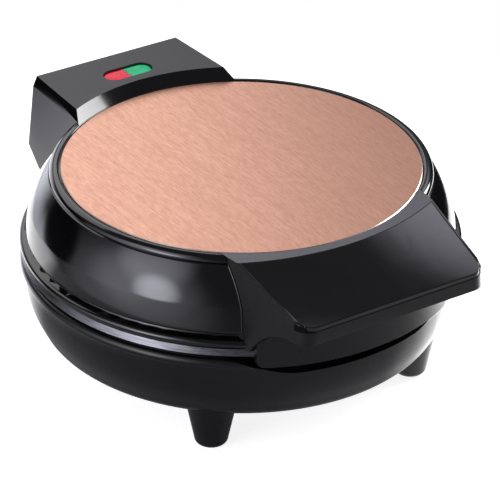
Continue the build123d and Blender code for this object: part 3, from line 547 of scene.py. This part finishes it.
def handle_notch():
    """Room for the handle's level strip in the dome's lip."""
    outlines = []
    for z in (DISC_UNDER, DISC_TOP + 4):
        rear = NOTCH_REAR_HALF + HANDLE_DRAFT * (LIP_TOP - z)
        fore = NOTCH_FRONT_HALF + HANDLE_DRAFT * (LIP_TOP - z)
        outlines.append([(-rear, NOTCH_REAR_Y, z), (rear, NOTCH_REAR_Y, z),
                         (fore, NOTCH_FRONT_Y, z), (-fore, NOTCH_FRONT_Y, z)])
    return bridged(*outlines)


def make_dome():
    """Dome and skirt of the lid, with the seat of the disc."""
    ring = turned([(CORE_R, DISC_UNDER)] + dome_outside + dome_inside + [(CORE_R, ROOM_TOP)])
    mesh = smoothed(carved(ring, handle_notch()), "lid_dome", 10)
    show("lid_dome", mesh, "lid", "gloss_black", "lid_shell")


def box_prism(inset, low, front):
    """Hinge box as a prism with bevelled shoulders, drawn in by inset, from its rear wall to the front."""
    shoulder = BOX_TOP - BOX_SHOULDER
    outlines = []
    for y in (BOX_REAR_Y - inset, front):
        wide = BOX_FLARE * (BOX_REAR_Y - y) - inset
        half = [
            (BOX_TOP_HALF + wide, BOX_TOP - inset),
            (BOX_SIDE_HALF + wide, shoulder),
            (BOX_SIDE_HALF + wide + BOX_DRAFT * (shoulder - low), low),
        ]
        section = half + [(-x, z) for x, z in reversed(half)]
        outlines.append([(x, y, z) for x, z in section])
    return bridged(*outlines)


def slot_block(length, width, y, low, high):
    """Upright block with round ends."""
    half, reach = width / 2, (length - width) / 2
    turns = [pi * step / 16 - pi / 2 for step in range(17)]
    right = [(reach + half * cos(turn), y + half * sin(turn)) for turn in turns]
    outline = right + [(-px, 2 * y - py) for px, py in right]
    return bridged([(px, py, low) for px, py in outline], [(px, py, high) for px, py in outline])


def make_box():
    """Hinge box behind the disc: grained, with polished shoulders and a polished cove round the disc.

    What is cut out of it reaches below and above it, from deep to high."""
    deep, high, wide = 40, BOX_TOP + 5.7, 70
    cove_foot = (LIP_IN + 0.1, DISC_TOP - 0.1)
    cove = [(0, 60), (cove_foot[0], 60), cove_foot, (COVE_R, BOX_TOP), (COVE_R, high), (0, high)]
    dome_room = [(0, 50), (CREASE_R, 50), (CREASE_R, 66), (CREASE_R - 1.2, CREASE_Z),
                 (LIP_R - 0.7, ROOM_TOP + 0.4), (0, ROOM_TOP + 0.4)]
    swing_r = RING_R + 0.3
    swing_room = [(0, deep), (swing_r, deep), (swing_r, SKIRT_UNDER), (0, SKIRT_UNDER)]
    heel_rear = BOX_REAR_Y + 1
    heel_side = [(HEEL_Y, deep), (HEEL_Y, BOX_UNDER), (heel_rear, HEEL_Z), (heel_rear, deep)]
    heel = bridged([(-wide, y, z) for y, z in heel_side], [(wide, y, z) for y, z in heel_side])
    window = slot_block(WINDOW_LONG, WINDOW_WIDE, WINDOW_Y, ROOM_TOP + 0.4, high)
    whole = carved(box_prism(0, BOX_UNDER, BOX_FRONT_Y), turned(cove), turned(dome_room),
                   turned(swing_room), heel, box_prism(WALL, deep, BOX_ROOM_FRONT_Y), window)
    mesh = smoothed(whole, "hinge_box", 20)
    mesh.materials.append(grained_box)
    mesh.materials.append(finishes["gloss_black"])
    for face in mesh.polygons:
        face.material_index = int(0.2 < face.normal.z < 0.9)
    piece = show("hinge_box", mesh, "lid", "gloss_black", "lid_shell")
    ease_edges(piece, 0.5, 3, 30)


def make_ears():
    """Round ears inside the hinge box, in which the pins sit."""
    shape = bmesh.new()
    for side in (-1, 1):
        middle = at(side * EAR_MIDDLE, PIVOT_Y, PIVOT_Z)
        bmesh.ops.create_cone(shape, cap_ends=True, segments=64, radius1=EAR_R * MM, radius2=EAR_R * MM,
                              depth=EAR_LONG * MM,
                              matrix=Matrix.Translation(middle) @ Matrix.Rotation(pi / 2, 4, "Y"))
    piece = show("hinge_ears", smoothed(shape, "hinge_ears", 30), "lid", "gloss_black", "lid_shell")
    ease_edges(piece, 0.3)


def make_disc():
    """Brushed sheet disc with a bright bevelled edge."""
    shape = turned([(0, DISC_UNDER), (DISC_R, DISC_UNDER), (DISC_R, DISC_TOP - DISC_BEVEL),
                    (DISC_R - DISC_BEVEL, DISC_TOP), (0, DISC_TOP)])
    mesh = smoothed(shape, "copper_disc", 20)
    mesh.materials.append(finishes["copper_sheet"])
    mesh.materials.append(finishes["copper_edge"])
    for face in mesh.polygons:
        face.material_index = int(0.2 < face.normal.z < 0.9)
    show("copper_disc", mesh, "lid", "copper_sheet", "lid_disc")


def handle_meets(r, z):
    """Place where the handle's side meets a ring of the lid of a radius and height, found step by step."""
    narrowing = (HANDLE_REAR_HALF - HANDLE_FRONT_HALF) / (HANDLE_REAR_Y - HANDLE_FRONT_Y)
    y = -r
    for _ in range(20):
        x = HANDLE_REAR_HALF + (y - HANDLE_REAR_Y) * narrowing + HANDLE_DRAFT * (LIP_TOP - z)
        y = -(r * r - x * x) ** 0.5
    return x, y


def make_handle_bead():
    """Rounded bead along each side of the handle where it meets the dome and the skirt."""
    for name, side in (("left", -1), ("right", 1)):
        line = []
        for r, z in dome_slope + [skirt_end]:
            x, y = handle_meets(r, z)
            line.append(at(side * (x + 0.1), y - 0.1, z))
        shape = bmesh.new()
        rings = []
        for place, ahead in zip(line, line[1:] + [2 * line[-1] - line[-2]]):
            turn = (ahead - place).to_track_quat("Z", "Y").to_matrix().to_4x4()
            ring = bmesh.ops.create_circle(shape, segments=10, radius=BEAD_R * MM,
                                           matrix=Matrix.Translation(place) @ turn)["verts"]
            rings.append(ring)
        for first, second in zip(rings, rings[1:]):
            for step in range(10):
                shape.faces.new((first[step - 1], first[step], second[step], second[step - 1]))
        shape.faces.new(rings[0])
        shape.faces.new(rings[-1])
        bmesh.ops.recalc_face_normals(shape, faces=shape.faces)
        bead = smoothed(shape, "handle_bead_" + name, 50)
        show("handle_bead_" + name, bead, "lid", "gloss_black", "handle_body")


def make_handle():
    """Handle moulding, with a coarser grain on its level strip, whose grey is a painted highlight, and a
    polished band along its front edge, darkened as painted shade under the plate's overhang.
    """
    shape = merged("handle_body")
    front_y = at(0, HANDLE_FRONT_Y + 8.2, 0).y
    core = at(0, -100, 87)
    front_edges = []
    for edge in shape.edges:
        walls = [face for face in edge.link_faces if abs(face.normal.z) < 0.3]
        tops = [face for face in edge.link_faces if face.normal.z > 0.8]
        middle = (edge.verts[0].co + edge.verts[1].co) / 2
        if walls and tops and middle.y < front_y and middle.z > (BAND_UNDER + 1.6) * MM:
            if walls[0].normal.dot(middle - core) > 0:
                front_edges.append(edge)
    bmesh.ops.bevel(shape, geom=front_edges, offset=0.85 * MM, offset_type="OFFSET", segments=4,
                    profile=0.5, affect="EDGES", material=-1)
    bmesh.ops.bisect_plane(shape, geom=shape.verts[:] + shape.edges[:] + shape.faces[:],
                           plane_co=at(0, 0, BAND_UNDER), plane_no=(0, 0, 1), dist=0.001 * MM)
    mesh = smoothed(shape, "handle_moulding", 28)
    for finish in (finishes["satin_black"], strip_grain_and_painted_highlight, painted_shade_band):
        mesh.materials.append(finish)
    for face in mesh.polygons:
        front = face.center.y < front_y + MM and abs(face.normal.z) < 0.93
        # The level strip takes the grey of the painted highlight, and the front band the painted shade.
        if face.normal.z > 0.99 and face.center.z > (DISC_TOP - 1) * MM:
            face.material_index = 1
        elif front and face.center.z > BAND_UNDER * MM:
            face.material_index = 2
    piece = show("handle_moulding", mesh, "lid", "satin_black", "handle_body")
    ease_edges(piece, 0.4, 3)


def turn_rim_bright(node):
    """Bare machined rim on a plate, with streaks that run round."""
    plate = bpy.data.objects["shown_" + node].data
    plate.materials.append(bare_rim)
    for face in plate.polygons:
        reach = Vector((face.center.x, face.center.y - AXIS_Y)).length
        face.material_index = int(reach > PLATE_BARE_R * MM and abs(face.normal.z) < 0.9)


make_dome()
make_box()
make_ears()
make_disc()
make_handle_bead()
make_handle()
eased = {
    "handle_plate": 0.4, "red_lens": 0.9, "green_lens": 0.9, "handle_apron": 0.3, "cord_bush": 0.2,
    "foot_front_left": 0.3, "foot_front_right": 0.3, "foot_rear_left": 0.3, "foot_rear_right": 0.3,
    "terminal_block": 0.3, "thermostat": 0.2, "lamp_holder": 0.3,
}
for node in sorted(set(frame["nodes"]) - {"lid_shell", "lid_disc", "handle_body"}):
    carry_over(node, "shown_" + node, eased.get(node, 0.0))
turn_rim_bright("lower_plate")
turn_rim_bright("upper_plate")


# Floor, world, lamps and camera


def toward(turn, rise):
    """Direction at a turn from +X and a rise, in degrees."""
    level = cos(radians(rise))
    return Vector((cos(radians(turn)) * level, sin(radians(turn)) * level, sin(radians(rise))))


def soft_patch(tree, way, turn, rise, reach, core, level):
    """Brightness of a round patch of the room that fades from its core to its reach, in degrees."""
    near = add(tree, "ShaderNodeVectorMath", {0: way, 1: toward(turn, rise)}, operation="DOT_PRODUCT")
    return add(tree, "ShaderNodeMapRange",
               {"Value": near.outputs["Value"], "From Min": cos(radians(reach)),
                "From Max": cos(radians(core)), "To Min": 0.0, "To Max": level},
               interpolation_type="SMOOTHSTEP").outputs[0]


def floor_paper():
    """White paper that keeps the shadow, glows white to the camera and to glass, and shades the gloss."""
    material, tree, place = blank("floor_paper_white")
    paper = add(tree, "ShaderNodeBsdfDiffuse", {"Color": linear("c4c4c4")})
    path = add(tree, "ShaderNodeLightPath", {}).outputs
    seen = add(tree, "ShaderNodeMath", {0: path["Is Camera Ray"], 1: path["Is Transmission Ray"]},
               operation="MAXIMUM")
    along = add(tree, "ShaderNodeVectorMath", {0: place, 1: toward(RAMP_TURN, 0)}, operation="DOT_PRODUCT")
    ramp = add(tree, "ShaderNodeMapRange", {"Value": along.outputs["Value"], **RAMP})
    away = add(tree, "ShaderNodeVectorMath", {0: place, 1: POOL_PLACE}, operation="DISTANCE")
    pool = add(tree, "ShaderNodeMapRange", {"Value": away.outputs["Value"], **POOL})
    bright = add(tree, "ShaderNodeMath", {0: ramp.outputs[0], 1: pool.outputs[0]}, operation="ADD")
    mirrored = add(tree, "ShaderNodeMath", {0: path["Is Glossy Ray"], 1: bright.outputs[0]},
                   operation="MULTIPLY")
    share = add(tree, "ShaderNodeMath", {0: seen.outputs[0], 1: mirrored.outputs[0]}, operation="MAXIMUM")
    strength = add(tree, "ShaderNodeMath", {0: share.outputs[0], 1: GLOW}, operation="MULTIPLY")
    glow = add(tree, "ShaderNodeEmission", {"Color": linear("ffffff"), "Strength": strength.outputs[0]})
    both = add(tree, "ShaderNodeAddShader", {0: paper.outputs[0], 1: glow.outputs[0]})
    add(tree, "ShaderNodeOutputMaterial", {"Surface": both.outputs[0]})
    return material


def make_floor():
    """Round pale floor under the feet."""
    shape = bmesh.new()
    bmesh.ops.create_circle(shape, cap_ends=True, segments=96, radius=FLOOR_R)
    mesh = bpy.data.meshes.new("floor")
    shape.to_mesh(mesh)
    shape.free()
    mesh.materials.append(floor_paper())
    floor = bpy.data.objects.new("floor", mesh)
    floor.location.z = -FLOOR_DROP
    bpy.context.scene.collection.objects.link(floor)


def make_room():
    """Soft room round the object, plain white to the camera and to glass."""
    world = bpy.data.worlds.new("studio")
    bpy.context.scene.world = world
    world.use_nodes = True
    tree = world.node_tree
    tree.nodes.clear()
    way = add(tree, "ShaderNodeTexCoord", {}).outputs["Generated"]
    height = add(tree, "ShaderNodeSeparateXYZ", {"Vector": way}).outputs["Z"]
    light = add(tree, "ShaderNodeMapRange", {"Value": height, **ROOM_BAND}).outputs[0]
    for patch in BRIGHT_PATCHES:
        bright = soft_patch(tree, way, *patch)
        light = add(tree, "ShaderNodeMath", {0: light, 1: bright}, operation="ADD").outputs[0]
    for patch in DARK_PATCHES:
        dark = soft_patch(tree, way, *patch)
        left = add(tree, "ShaderNodeMath", {0: 1.0, 1: dark}, operation="SUBTRACT").outputs[0]
        light = add(tree, "ShaderNodeMath", {0: light, 1: left}, operation="MULTIPLY").outputs[0]
    room = add(tree, "ShaderNodeBackground", {"Color": linear("f0f0fc"), "Strength": light})
    white = add(tree, "ShaderNodeBackground", {"Color": linear("ffffff"), "Strength": 1.0})
    path = add(tree, "ShaderNodeLightPath", {}).outputs
    seen = add(tree, "ShaderNodeMath", {0: path["Is Camera Ray"], 1: path["Is Transmission Ray"]},
               operation="MAXIMUM")
    both = add(tree, "ShaderNodeMixShader", {0: seen.outputs[0], 1: room.outputs[0], 2: white.outputs[0]})
    add(tree, "ShaderNodeOutputWorld", {"Surface": both.outputs[0]})


def lamp(name, turn, rise, distance, width, height, level):
    """Soft lamp of a brightness and a size in metres, at a turn from +X and a rise from where both aim."""
    data = bpy.data.lights.new(name, "AREA")
    data.shape = "RECTANGLE"
    data.size = width
    data.size_y = height
    data.energy = level * pi * width * height
    obj = bpy.data.objects.new(name, data)
    obj.location = LAMPS_AIM + distance * toward(turn, rise)
    obj.rotation_euler = toward(turn, rise).to_track_quat("Z", "Y").to_euler()
    bpy.context.scene.collection.objects.link(obj)


def camera():
    """Camera at the photograph's place, with its long lens."""
    ahead = Vector((sin(LOOK_TURN) * cos(LOOK_DIP), cos(LOOK_TURN) * cos(LOOK_DIP), -sin(LOOK_DIP)))
    level = Vector((cos(LOOK_TURN), -sin(LOOK_TURN), 0))
    upright = level.cross(ahead)
    right = cos(LOOK_ROLL) * level + sin(LOOK_ROLL) * upright
    up = -sin(LOOK_ROLL) * level + cos(LOOK_ROLL) * upright
    across = (DISC_PIXEL[0] - FRAME_PIXELS / 2) * FAR / FOCAL_PIXELS
    above = (FRAME_PIXELS / 2 - DISC_PIXEL[1]) * FAR / FOCAL_PIXELS
    place = at(0, 0, DISC_TOP) - (across * right + above * up + FAR * ahead)
    data = bpy.data.cameras.new("photo_camera")
    data.sensor_width = SENSOR
    data.lens = FOCAL_PIXELS * SENSOR / FRAME_PIXELS
    data.clip_start = 0.05
    obj = bpy.data.objects.new("photo_camera", data)
    facing = Matrix((right, up, -ahead)).transposed().to_4x4()
    obj.matrix_world = Matrix.Translation(place) @ facing
    bpy.context.scene.collection.objects.link(obj)
    bpy.context.scene.camera = obj


make_floor()
make_room()
lamp("back_panel", 91, 38, 0.8, 0.95, 0.46, 1.75)
lamp("right_panel", 355, 22, 0.62, 0.34, 0.28, 13.0)
camera()
bpy.context.scene.view_settings.view_transform = "Standard"
